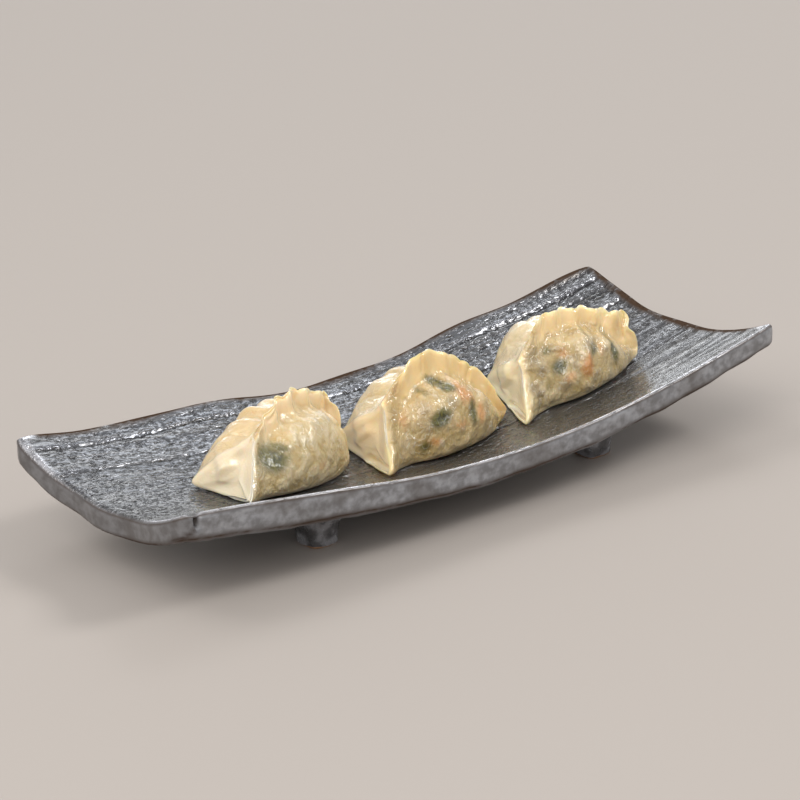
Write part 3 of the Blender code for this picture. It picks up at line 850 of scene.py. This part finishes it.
def make_wrapper(d):
    """The dumpling's skin in its own millimetre frame, and the amounts that its finish follows."""
    controls = wrapper_controls(d["sections"], d["tip"])
    last = len(controls) - 1
    ring_place = np.linspace(0, last, RINGS + 1)
    point_place = np.arange(RING_POINTS) / RING_POINTS
    along = spline_basis(last + 1, ring_place, False)
    around = spline_basis(SECTION_POINTS, point_place * SECTION_POINTS, True)
    skin = np.einsum("ai,bj,ijk->abk", along, around, controls)
    skin[0] = controls[0, 0]
    skin[-1] = controls[-1, 0]
    ring_place = ring_place[:, None] * np.ones(RING_POINTS)
    point_place = point_place * np.ones((RINGS + 1, 1))
    x, y, z = skin[..., 0], skin[..., 1], skin[..., 2]
    table = np.array(d["sections"])
    crest = np.interp(x, table[:, 0], table[:, 2])
    shoulder = np.interp(x, table[:, 0], table[:, 3])
    height = np.clip(z / crest, 0, 1)
    front, back = table[2, 0], table[-1, 0]
    right = smooth_step(0.53, 0.49, point_place)
    left = 1 - right
    shoulder = np.where(point_place < 0.5, shoulder, crest - 0.7 * (crest - shoulder))
    behind_face = smooth_step(front, front + 8, x)
    near_crest = smooth_step(0.5, 0.95, height) * behind_face
    wave = np.sin(2 * math.pi * (x - d["pleat_start"]) / d["pleat_length"])
    spread = np.arange(RINGS + 1)
    soften = np.exp(-0.5 * ((spread[:, None] - spread) / SOFTENING) ** 2)
    soft = np.einsum("ab,bjk->ajk", soften / soften.sum(1, keepdims=True), skin)
    soft_share = np.maximum(bell(ring_place - 2.5, 1.3) * left, 0.8 * smooth_step(2.3, 1.5, ring_place))
    curl = d["curl"] * smooth_step(13.0, 1.0, z)
    soft_share = np.maximum(soft_share, np.minimum(curl, 0.9) * bell(ring_place - 2.3, 1.1) * right)
    folded = skin + (soft - skin) * soft_share[..., None]
    folded[..., 1] += d["pleat_depth"] * near_crest * wave
    folded[..., 2] += 0.5 * d["pleat_depth"] * near_crest * np.abs(wave)

    rim = smooth_step(shoulder - 0.5, shoulder + 2.0, z) * smooth_step(front - 2, front + 4, x)
    face = smooth_step(3.2, 2.4, ring_place)
    belly = smooth_step(0.0, 0.1, height) * (1 - rim) * smooth_step(3.1, 4.3, ring_place)
    belly *= (1 - smooth_step(back - 8, back + 4, x)) * (1 - 0.6 * left)
    normal = outward(skin)
    blade_side = right * smooth_step(0.0, 0.12, point_place)
    from_blade = ring_place - BLADE_PLACE + curl
    blade = bell(from_blade, np.where(from_blade > 0, 1.7, 1.0) * d["blade_width"])
    blade -= 0.25 * bell(from_blade - 1.7, 0.6)
    blade_height = d["blade"] * blade * blade_side * (0.6 + smooth_step(0.2, 0.46, point_place))
    swell = np.zeros_like(x)
    for fold in d["folds"]:
        swell += fold_step(skin, fold, right * smooth_step(0.0, 0.02, point_place))
    for fold in d["back_folds"]:
        swell += fold_step(skin, fold, left * smooth_step(1.0, 0.98, point_place))
    over_base = right * smooth_step(0.5, 0.43, point_place)
    gather = np.sin(2 * math.pi * (x + 0.25 * z) / d["gather_length"] + d["seed"])
    swell += 0.45 * gather * smooth_step(0.25, 0.6, height) * (1 - rim) * behind_face * left
    for spot_x, spot_z, reach_x, reach_z, rise in d["lumps"]:
        swell += rise * bell(x - spot_x, reach_x) * bell(z - spot_z, reach_z) * over_base
    for y_0, z_0, y_1, z_1, reach, sink in d["dents"]:
        run = np.array([y_1 - y_0, z_1 - z_0])
        share = np.clip(((y - y_0) * run[0] + (z - z_0) * run[1]) / max(1e-6, run @ run), 0, 1)
        distance = np.hypot(y - y_0 - share * run[0], z - z_0 - share * run[1])
        swell -= sink * bell(distance, reach) * smooth_step(4.6, 3.2, ring_place)
    nick = np.zeros_like(x)
    for fold in d["folds"]:
        nick += 1.2 * fold[4] * np.exp(-np.abs(x - fold[0] - 0.6) / 1.4)
    folded[..., 2] -= nick * smooth_step(0.86, 1.0, height) * behind_face
    flare_x, flare, flare_reach = d["end_flare"]
    folded[..., 2] += flare * bell(x - flare_x, flare_reach) * smooth_step(0.45, 1.0, height)
    lobe_x, lobe_reach, lobe_rise, lobe_out = d["lobe"]
    lobe = bell(x - lobe_x, lobe_reach) * bell(z, lobe_rise) * smooth_step(-6.0, -16.0, y)
    folded[..., 1] -= lobe_out * lobe
    folded[..., 0] -= LOBE_AHEAD * lobe_out * lobe
    notch_z, notch, notch_reach = d["end_notch"]
    folded[..., 0] -= notch * bell(z - notch_z, notch_reach) * smooth_step(back - 8, back, x)
    folded += normal * (swell + blade_height)[..., None]
    folded[0] = folded[0].mean(0)
    folded[-1] = folded[-1].mean(0)

    # Seat: a band just under the rim and a line along each pleat's fold, which the colour fills with
    # painted warm shade.
    seat = bell(z - shoulder - 1.0, 2.2) * right * behind_face
    for fold in d["folds"]:
        past, reached = past_fold(skin, fold)
        seat = np.maximum(seat, bell(past - 0.7, 0.9) * reached * right)
    amounts = {"rim": rim, "face": face, "belly": belly, "seat": seat}
    for kind in ("green", "orange", "amber"):
        spots = np.zeros_like(x)
        for side, spot_x, spot_z, reach_x, reach_z, slope, strength in d[kind]:
            slid = z - spot_z - slope * (x - spot_x)
            spot = strength * bell(x - spot_x, 1.3 * reach_x) * bell(slid, 1.3 * reach_z)
            spots = np.maximum(spots, spot * (right if side > 0 else left) * (1 - face))
        amounts[kind] = spots
    turn = math.radians(d["heading"])
    ahead = np.array([math.cos(turn), math.sin(turn)])
    aside = np.array([-math.sin(turn), math.cos(turn)])
    flat = np.array(d["at"]) + folded[..., :1] * ahead + folded[..., 1:2] * aside
    rise = plate_top(flat[..., 0], flat[..., 1]) + GAP_TO_PLATE + np.maximum(folded[..., 2], 0.0)
    points = np.concatenate([flat + np.array(CENTRE_SHIFT), rise[..., None]], -1) * MM
    return points, amounts


def wrapper_object(name, points, amounts):
    """A closed mesh from the rings of points, with one point at each end."""
    rings = len(points) - 2
    inner = points[1:-1].reshape(-1, 3)
    vertices = np.concatenate([points[0, :1], inner, points[-1, :1]])
    index = 1 + np.arange(rings * RING_POINTS).reshape(rings, RING_POINTS)
    beside = np.roll(index, -1, 1)
    faces = np.stack([index[:-1], beside[:-1], beside[1:], index[1:]], -1).reshape(-1, 4).tolist()
    faces += [(0, int(b), int(a)) for a, b in zip(index[0], beside[0])]
    faces += [(len(vertices) - 1, int(a), int(b)) for a, b in zip(index[-1], beside[-1])]
    mesh = bpy.data.meshes.new(name)
    mesh.from_pydata(vertices, [], faces)
    for key, amount in amounts.items():
        values = np.concatenate([amount[0, :1], amount[1:-1].ravel(), amount[-1, :1]])
        kept = mesh.attributes.new(key, "FLOAT", "POINT")
        kept.data.foreach_set("value", values.astype(np.float32))
    return put(name, mesh)


# Dumplings: the steamed skin
# Steaming makes the dough wet, glossy and half clear. It clings to the chopped filling in lumps and
# fine wrinkles, and the leaves and shreds of root inside show through it as soft patches.


DOUGH = {
    "face": (0.96, 0.83, 0.6),
    # Valley: darker amber in hollows and creases, partly thin dough and partly painted shade.
    "valley": (0.46, 0.32, 0.11),
    # Folded: warm amber painted as shade under the rim, along each pleat's fold and in the amber spots,
    # partly thin dough.
    "folded": (0.68, 0.45, 0.17),
    "root": (0.62, 0.27, 0.075),
    "dark leaf": (0.03, 0.036, 0.005),
    "light leaf": (0.12, 0.108, 0.012),
    "speck": (0.12, 0.06, 0.02),
    # Curl: whitish painted wet highlights.
    "curl": (0.93, 0.9, 0.8),
}
CURL_SIZE = (0.0042, 0.0042, 0.0042)


def dough_material(name, cream, amber, filling):
    """Half-clear dough: cream where it is folded double, amber where thin, coloured by the filling, with
    painted warm shade in its folds and hollows and painted wet highlights.
    """
    material, tree, shader, place = start_material(name)
    rim, belly, face, valley, seat, thin_and_shaded_spots, green, orange = (
        painted(tree, key)
        for key in ("rim", "belly", "face", "valley", "seat", "amber", "green", "orange")
    )
    clouds = grain(tree, place, (0.007, 0.007, 0.007), seed=1.0, detail=3.0)
    ragged = grain(tree, place, (0.0022, 0.0022, 0.0026), seed=2.0, detail=4.0, distortion=0.8)
    wrinkles = grain(tree, place, (0.0013, 0.0013, 0.0019), seed=4.0, detail=3.0, distortion=1.4)
    pores = grain(tree, place, (0.0004, 0.0004, 0.0004), seed=6.0, detail=2.0)
    rare = grain(tree, place, (0.006, 0.006, 0.006), seed=8.0, detail=0.0).ramp(0.62, 0.66)
    # Fine curly ridges: they bump the wet coat and are painted whitish as wet highlights.
    curls_and_painted_glints = (grain(tree, place, CURL_SIZE, seed=10.0, detail=1.0, distortion=1.3) - 0.5).size()
    curls_and_painted_glints = curls_and_painted_glints.ramp(0.0, 0.06).opposite() * clouds.ramp(0.48, 0.62) * (belly * 0.9 + 0.1)
    cells = add_node(tree, "ShaderNodeTexVoronoi", {"Vector": place, "Scale": 140.0})
    speck = Amount(tree, cells.outputs["Distance"]).ramp(0.07, 0.04)
    orange = (orange + (ragged - 0.5) * 0.6).ramp(0.2, 0.85)
    green = (green + (ragged - 0.5) * 0.7).ramp(0.2, 0.85)
    leaf = mixed(tree, ragged.ramp(0.4, 0.6), DOUGH["dark leaf"], DOUGH["light leaf"])
    palette = {**DOUGH, "cream": cream, "amber": amber, "filling": filling, "leaf": leaf}
    # Valley and folded lay amber that is partly thin dough and partly painted shade; curl lays painted wet
    # highlights.
    colour = layered(tree, palette, "cream", {
        "amber": rim * (clouds.ramp(0.3, 0.7) * 0.5 + 0.45),
        "filling": belly * (clouds.ramp(0.4, 0.65) * 0.4 + 0.5),
        "face": face * 0.4,
        "valley": valley * 0.6,
        "folded": seat.maths("MAXIMUM", thin_and_shaded_spots) * (clouds * 0.5 + 0.3),
        "root": orange * 0.8,
        "leaf": green * 0.95,
        "speck": speck * rare * 0.6,
        "curl": curls_and_painted_glints * 0.24,
    })
    wrinkled = wrinkles * (belly * 0.8 + 0.2)
    wet = bumped(tree, curls_and_painted_glints, 0.00025, 0.8, bumped(tree, wrinkled, 0.00028, 0.8))
    fill_inputs(tree, shader, {
        "Base Color": colour,
        "Subsurface Weight": 0.5,
        "Subsurface Radius": (1.0, 0.62, 0.3),
        "Subsurface Scale": 0.004,
        "IOR": 1.42,
        "Roughness": wrinkles * 0.2 + face * 0.08 + 0.24,
        "Normal": bumped(tree, pores, 0.0001, 0.4, bumped(tree, wrinkled, 0.0007, 0.8)),
        "Coat Weight": 1.0,
        "Coat Roughness": 0.06,
        "Coat IOR": 1.6,
        "Coat Normal": wet,
    })
    return material


def settle_tree(values):
    """Lets the skin sink round the filling: soft lumps, then fine wrinkles that flow across them."""
    tree, size = start_tree("settle_over_filling", values)
    place = add_node(tree, "GeometryNodeInputPosition").outputs[0]
    normal = add_node(tree, "GeometryNodeInputNormal").outputs[0]
    belly, face, rim = (named(tree, key) for key in ("belly", "face", "rim"))
    seed = size["Seed"]
    lumps = grain(tree, place, size["Lump size"], seed, detail=0.5)
    creases = grain(tree, place, size["Crease size"], seed, detail=1.0, distortion=1.2)
    creases = (creases - 0.5).size().ramp(0.0, 0.09).opposite()
    wrinkles = grain(tree, place, size["Wrinkle size"], seed, detail=2.0, distortion=1.6)
    lift = (lumps - 0.5) * size["Lump height"] * 2.0 * (belly + face * 0.15 + rim * 0.2)
    lift = lift - creases * size["Crease depth"] * belly
    lift = lift + (wrinkles - 0.5) * size["Wrinkle height"] * 2.0 * (belly + 0.25)
    # Hollows between the lumps and creases, darker in the colour: partly thin dough, partly painted shade.
    valley = (lumps.ramp(0.58, 0.36) * 0.75 + creases * 0.55) * belly
    kept = keep(tree, size["Geometry"], "valley", valley)
    finish_tree(tree, push(tree, kept, normal, lift), size["Material"])
    return tree


def lay_dumpling(name, d, material):
    """Makes one dumpling, settles its skin and sets it on the plate in its solid's place."""
    points, amounts = make_wrapper(d)
    obj = wrapper_object(name + "_wrapper", points, amounts)
    values = {
        "Lump height": d["lump_height"] * MM,
        "Lump size": 5.6 * MM,
        "Crease depth": 0.28 * MM,
        "Crease size": 8.0 * MM,
        "Wrinkle height": 0.24 * MM,
        "Wrinkle size": 2.3 * MM,
        "Seed": d["seed"],
        "Material": material,
    }
    run_tree(obj, settle_tree(values), values)
    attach(obj, "root")
    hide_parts(name)


# Each dumpling's sections run from the folded end to the pinched end, as (place along, crest across,
# crest height, shoulder height, right foot across, left foot across, right foot ahead, left foot
# ahead, swell). Folds are (top along, top height, low along, low height, step). Lumps are (along,
# height, reach along, reach up, rise). Dents in the folded face are lines from (across, height) to
# (across, height) with a reach and a depth. The rim flares at the pinched end by (along, rise,
# reach), and the end is notched by (height, depth, reach). The blade is the edge of the front fold,
# and the curl turns its foot in over the face. The lobe at the front corner is (along, reach along,
# reach up, out). Filling spots are (side, along, height, reach along, reach up, slope, strength).
# Amber spots take the same form and are partly thin dough, partly painted warm shade.


# Left dumpling
# The roundest of the three, with the widest folded face and one dark green leaf under the skin.

lay_dumpling("dumpling_left", dict(
    slot="steamed_dough_left", seed=3,
    at=(-95.5, -9), heading=13, tip=(71.3, 0, 12),
    pleat_length=10.5, pleat_start=7, pleat_depth=1.3, gather_length=9,
    blade=1.1, blade_width=0.55, curl=0, lump_height=0.7,
    end_flare=(65, 2.6, 3.5), end_notch=(23.2, 2.4, 1.8), lobe=(0, 6, 8, 0),
    sections=(
        (8.5, -8.7, 24, 16, -20, 17, -16.5, -6, 0),
        (11, -8.2, 25, 17, -20, 17, -15, -5, 0.05),
        (15, -7.2, 26.5, 18, -14, 16, -9, -4, 0.5),
        (22, -5, 29.5, 21.5, -17, 16, -4, -2, 1),
        (31, -3, 34.5, 26, -18, 18, -1, 0, 1),
        (41, -2.2, 36, 28, -16.5, 17, 0, 0, 1),
        (51, -1.5, 33, 27, -14, 15.5, 0, 0, 1),
        (59, -0.8, 30.5, 22.5, -11, 12.5, 0, 0, 1),
        (64, -0.2, 27, 15, -7.5, 9, 0, 0, 1),
        (68, 0, 18, 8, -4, 5, 0, 0, 1),
    ),
    folds=((19.3, 28.2, 8.1, 22, 0.9), (33.4, 34.2, 22.9, 26.7, 1), (43, 36, 40, 29, 0.7),
           (52.3, 30.8, 48.3, 26.6, 0.9), (57.5, 30, 54, 22, 0.8), (63.5, 27.5, 60.5, 18, 1.5)),
    back_folds=((20, 28, 14, 12, 0.8), (31, 34, 27, 16, 0.7), (42, 35, 40, 17, 0.8),
                (53, 32, 54, 15, 0.7), (61, 29, 63, 14, 0.6)),
    dents=((-1, 10.5, 0.5, 10, 3.6, 2), (4.1, 12.2, -3.8, 19.5, 3, 0.9), (1, 9, 6, 7, 2, 0.4)),
    lumps=((15, 15, 6, 5, 0.6), (30, 20, 5, 5, 0.7), (44, 20, 6, 5, 0.6)),
    green=((1, 13.5, 14.5, 5.5, 4.6, 0.1, 1), (1, 18.5, 18, 3.4, 2.2, 0, 0.75),
           (1, 6.5, 14.5, 2.4, 3, 0, 0.55), (-1, 30, 14, 6, 4, 0.2, 0.8)),
    # The large amber spot on the left flank is painted shade on this dumpling's back.
    amber=((1, 22, 26, 4, 3, 0.5, 0.5), (1, 58, 22, 5, 4, 0, 0.4), (-1, 30, 20, 24, 14, 0, 1.2)),
    orange=((-1, 48, 13, 5, 3.5, 0, 0.7), (1, 36, 9, 3.5, 2.5, 0, 0.45)),
), dough_material("steamed_dough_left", (0.79, 0.66, 0.45), (0.80, 0.64, 0.38), (0.45, 0.35, 0.175)))


# Middle dumpling
# The tallest, with a high peak behind its face, and leaves and orange shreds all through the belly.

lay_dumpling("dumpling_middle", dict(
    slot="steamed_dough_middle", seed=11,
    at=(-20.5, 3), heading=-4, tip=(68.5, 0.3, 2.5),
    pleat_length=12, pleat_start=3, pleat_depth=0.8, gather_length=10,
    blade=1.6, blade_width=0.45, curl=1, lump_height=1.1,
    end_flare=(57, 0.4, 5), end_notch=(10, 0, 2), lobe=(-1, 6.5, 9, 5.5),
    sections=(
        (0.4, -12.8, 25.5, 17, -21.5, 20, -5, 0.5, 0),
        (3.2, -12.2, 28.5, 19, -22, 19, -4.5, 0.5, 0.05),
        (9, -10.2, 33.5, 23, -13.5, 17, 0, 0, 0.5),
        (16, -7.8, 36, 26, -19.5, 17.5, 0, 0, 1),
        (24.5, -5, 41, 28.5, -21.5, 17.5, 0, 0, 1),
        (33, -3.3, 37, 29, -20, 17, 0, 0, 1),
        (41, -2.5, 33.5, 25.5, -17.5, 16, 0, 0, 1),
        (48.5, -1.8, 28.5, 20, -14.5, 14, 0, 0, 1),
        (55.5, -1, 22.5, 12, -10, 10, 0, 0, 1),
        (61, -0.4, 14.5, 5.5, -4, 4, 0, 0, 1),
        (65, 0, 8, 3, -1.6, 1.6, 0, 0, 1),
    ),
    folds=((12, 35, 8, 27, 0.7), (24, 39.5, 23.5, 31, 0.7), (44.2, 29.5, 43, 23, 0.6),
           (48.6, 26, 46.5, 19.5, 1.3), (59, 16, 56, 10, 0.6)),
    back_folds=((12, 35, 8, 16, 0.8), (22, 39, 19, 18, 0.7), (33, 36, 33, 17, 0.8),
                (43, 32, 45, 14, 0.7), (52, 25, 55, 11, 0.6)),
    dents=((1, 8, -3, 11, 4, 1.2), (5, 12, -2, 20, 2.6, 0.6), (-15, 2, -18, 3, 5, -1)),
    lumps=((9, 4, 3.6, 8, -1.4), (27, 24, 4, 4, 0.7), (22, 14, 5, 4, 0.8), (36, 15, 5, 4.5, 0.6)),
    green=((1, 28.5, 27, 4.2, 1.9, -0.5, 0.95), (1, 21.5, 16.5, 4.2, 3.4, 0.3, 1),
           (1, 38, 15, 1.9, 5, 0.4, 0.9), (1, 19.5, 26.3, 2.2, 1.6, 0, 0.6),
           (1, 15.4, 6.5, 2.4, 2.4, 0, 0.7), (1, 27, 21.5, 3.2, 2, 0, 0.45),
           (-1, 24, 17, 5, 4, 0.2, 0.9), (-1, 42, 12, 4, 3, 0, 0.7)),
    amber=((1, 9, 25, 5, 8, 0, 0.8), (1, 50, 20, 4, 5, 0, 0.6), (1, 24, 33, 6, 3, 0, 0.5)),
    orange=((1, 36, 22.5, 5, 3.6, -0.4, 0.85), (1, 42.5, 13, 2.2, 4, 0, 0.75),
            (1, 30.5, 12, 4.2, 2.2, 0, 0.6), (1, 18.5, 8, 3, 2, 0, 0.65),
            (1, 8.5, 17.5, 2.6, 4.5, 0.2, 0.5), (-1, 32, 14, 6, 4, 0, 0.8)),
), dough_material("steamed_dough_middle", (0.82, 0.62, 0.32), (0.78, 0.59, 0.28), (0.31, 0.225, 0.11)))


# Right dumpling
# The lowest, with a crisp folded corner in front and its belly sunk between three lumps.

lay_dumpling("dumpling_right", dict(
    slot="steamed_dough_right", seed=23,
    at=(54, 8), heading=-14, tip=(60, 0, 4),
    pleat_length=10, pleat_start=1, pleat_depth=1.2, gather_length=8.5,
    blade=1.6, blade_width=0.45, curl=0.9, lump_height=1.15,
    end_flare=(55.5, 0.8, 3.5), end_notch=(12.6, 3, 3), lobe=(-1.5, 6.5, 9, 5),
    sections=(
        (-1, -14.9, 22.5, 14, -22, 18.5, -1.5, 2.5, 0),
        (2, -14.5, 27.5, 18, -23.5, 18.5, -1.5, 1.5, 0.05),
        (7.5, -12.2, 34.5, 25, -15, 18, 2, 0, 0.5),
        (14, -9.2, 36.5, 27, -18.5, 17.5, 1, 0, 1),
        (22, -5.4, 33.5, 25.5, -20.5, 17.5, 0, 0, 1),
        (30, -3.5, 31.5, 25, -19.5, 17, 0, 0, 1),
        (37.5, -2.6, 28.5, 22, -16, 15.5, 0, 0, 1),
        (44.5, -1.8, 25, 15, -12.5, 12, 0, 0, 1),
        (50.5, -1, 22, 8, -7.5, 7, 0, 0, 1),
        (55.5, -0.4, 19, 5, -3, 3, 0, 0, 1),
        (58.5, 0, 12, 3, -1.6, 1.6, 0, 0, 1),
    ),
    folds=((13.2, 34.3, 11.1, 28.8, 0.8), (28.6, 30, 27.4, 25, 0.7), (38, 27, 36, 21, 0.6),
           (45.5, 23, 41.4, 18, 0.9), (54.8, 18, 53, 10, 1.1)),
    back_folds=((9, 34, 5, 14, 0.8), (19, 34, 17, 17, 0.7), (29, 31, 29, 15, 0.8),
                (38, 28, 40, 14, 0.7), (46, 24, 49, 9, 0.6)),
    dents=((0, 8, -4, 13, 4, 1.2), (4, 10, -6, 20, 2.6, 0.5), (-16, 2, -19, 3, 5, -1)),
    lumps=((9.5, 4, 3.6, 8, -1.4), (18, 20, 5, 6, 1), (32, 17, 4.5, 6, 1), (26.3, 18, 2, 8, -1.1),
           (10, 16, 2.2, 7, -0.9), (40, 12, 3.5, 5, 0.6)),
    green=((1, 11.5, 23, 3.2, 2.2, 0, 0.65), (1, 15, 16, 2.6, 3, 0, 0.95),
           (1, 31, 18, 2.4, 2.2, 0, 0.8), (1, 42, 12.5, 1.9, 5, -0.8, 0.9),
           (1, 10.9, 9.5, 2.8, 2.8, 0, 0.5), (1, 29.5, 23, 2.2, 1.8, 0, 0.45),
           (-1, 22, 16, 5, 4, 0.2, 0.8), (-1, 38, 12, 4, 3, 0, 0.8)),
    amber=((1, 50.5, 15, 4, 5.5, 0, 0.95), (1, 12, 27, 5, 4, 0, 0.8), (1, 30, 27, 6, 2.5, 0, 0.5)),
    orange=((1, 26.3, 13, 3, 4.2, 0, 0.9), (1, 17, 21, 3, 2.2, 0, 0.6),
            (1, 18.5, 11.5, 2.4, 2.2, 0, 0.65), (1, 34.5, 17, 1.8, 3, 0, 0.5),
            (-1, 30, 14, 5, 4, 0, 0.8)),
), dough_material("steamed_dough_right", (0.94, 0.76, 0.45), (0.82, 0.64, 0.34), (0.22, 0.155, 0.07)))
